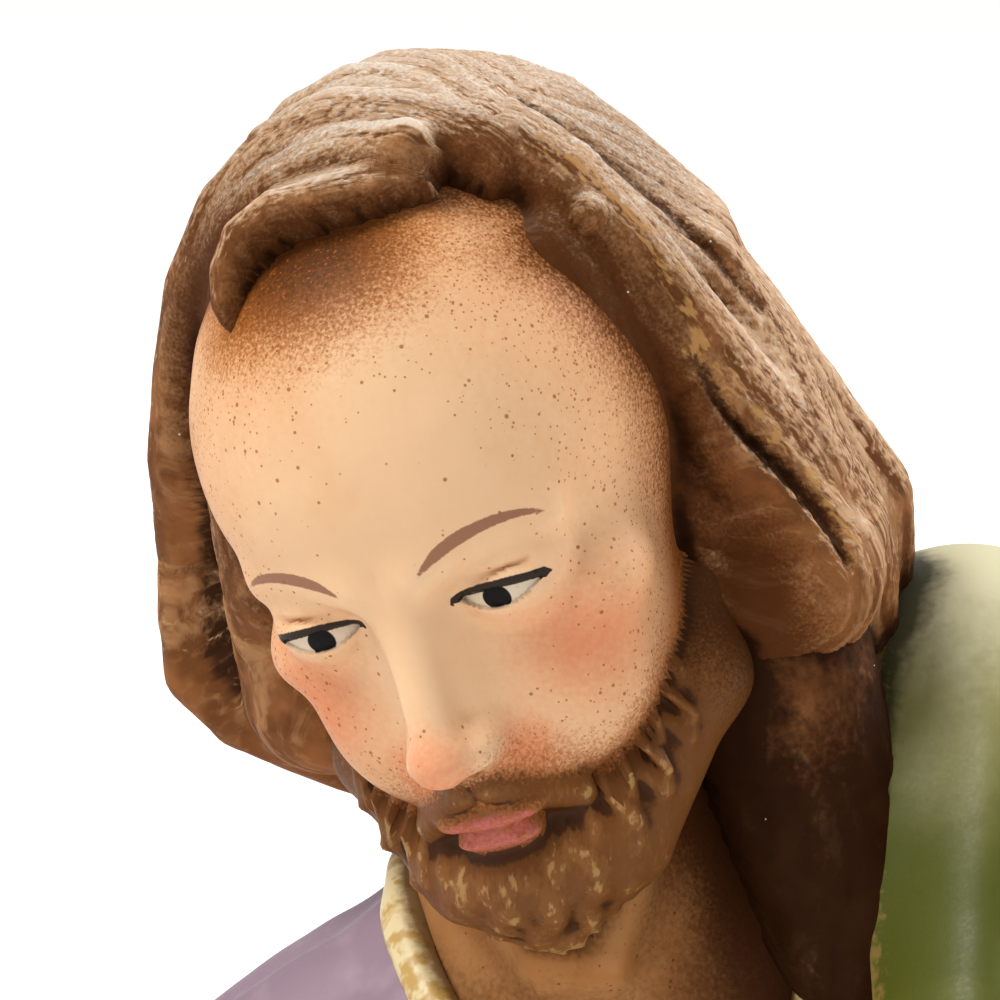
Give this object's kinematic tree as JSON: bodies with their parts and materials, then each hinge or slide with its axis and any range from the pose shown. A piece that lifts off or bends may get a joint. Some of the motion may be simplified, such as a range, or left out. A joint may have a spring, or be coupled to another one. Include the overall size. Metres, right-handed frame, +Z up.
{
  "type": "presepe figure bust",
  "caption": "Cast and painted nativity figure cut as a bust: a bearded man in tunic and mantle bows his head, on a flat underside.",
  "frame": {"origin": "on the flat underside, below the middle of the bust", "axes": "+Z up, the figure's chest faces -Y and its own left shoulder points to +X"},
  "size_m": [0.0707, 0.0411, 0.0677],
  "materials": {
    "painted_plaster": "satin hand-painted plaster, mean of all its colours",
    "flesh": "satin cream flesh paint with airbrushed blush and brown speckle",
    "hair": "satin brown paint, dry-brushed with tan and grey on its ridges",
    "tunic": "satin greyed mauve paint",
    "mantle": "glossy satin olive green paint",
    "collar": "satin cream and old gold paint"
  },
  "bodies": {
    "root": {"bust": "painted_plaster"}
  },
  "joints": []
}
